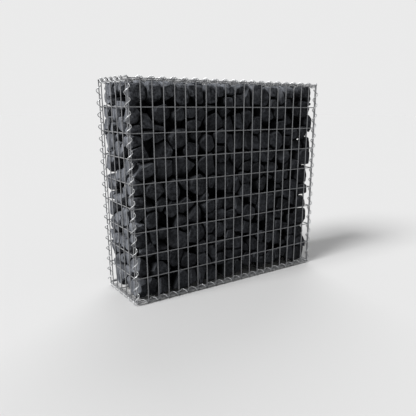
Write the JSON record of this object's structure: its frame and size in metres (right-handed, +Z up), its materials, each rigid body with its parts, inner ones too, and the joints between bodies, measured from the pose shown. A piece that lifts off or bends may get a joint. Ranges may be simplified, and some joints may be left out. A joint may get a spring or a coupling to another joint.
{
  "type": "gabion wall",
  "caption": "Free-standing gabion wall: a welded wire mesh basket laced with spiral wires and filled with broken dark stone.",
  "frame": {"origin": "middle of the wall's length and depth, level with the lowest turns of the base spirals", "axes": "+X along the wall, +Y from the front towards the back, +Z up"},
  "size_m": [1.0318, 0.317, 0.9379],
  "materials": {
    "mesh_wire": "dull hot-dip galvanised wire, grey with pale zinc patches",
    "spiral_wire": "hot-dip galvanised spiral wire, a little brighter than the mesh",
    "stone": "broken basalt, nearly black to dark grey, matt, with paler dusty faces"
  },
  "bodies": {
    "root": {"back_left_spiral": "spiral_wire", "back_panel": "mesh_wire", "back_right_spiral": "spiral_wire", "base_back_spiral": "spiral_wire", "base_front_spiral": "spiral_wire", "base_left_spiral": "spiral_wire", "base_panel": "mesh_wire", "base_right_spiral": "spiral_wire", "front_left_spiral": "spiral_wire", "front_panel": "mesh_wire", "front_right_spiral": "spiral_wire", "left_end_panel": "mesh_wire", "lid_panel": "mesh_wire", "right_end_panel": "mesh_wire", "stone_course_1": "stone", "stone_course_2": "stone", "stone_course_3": "stone", "stone_course_4": "stone", "stone_course_5": "stone", "stone_course_6": "stone", "stone_course_7": "stone", "stone_course_8": "stone", "stone_course_9": "stone", "top_back_spiral": "spiral_wire", "top_front_spiral": "spiral_wire", "top_left_spiral": "spiral_wire", "top_right_spiral": "spiral_wire"}
  },
  "joints": []
}
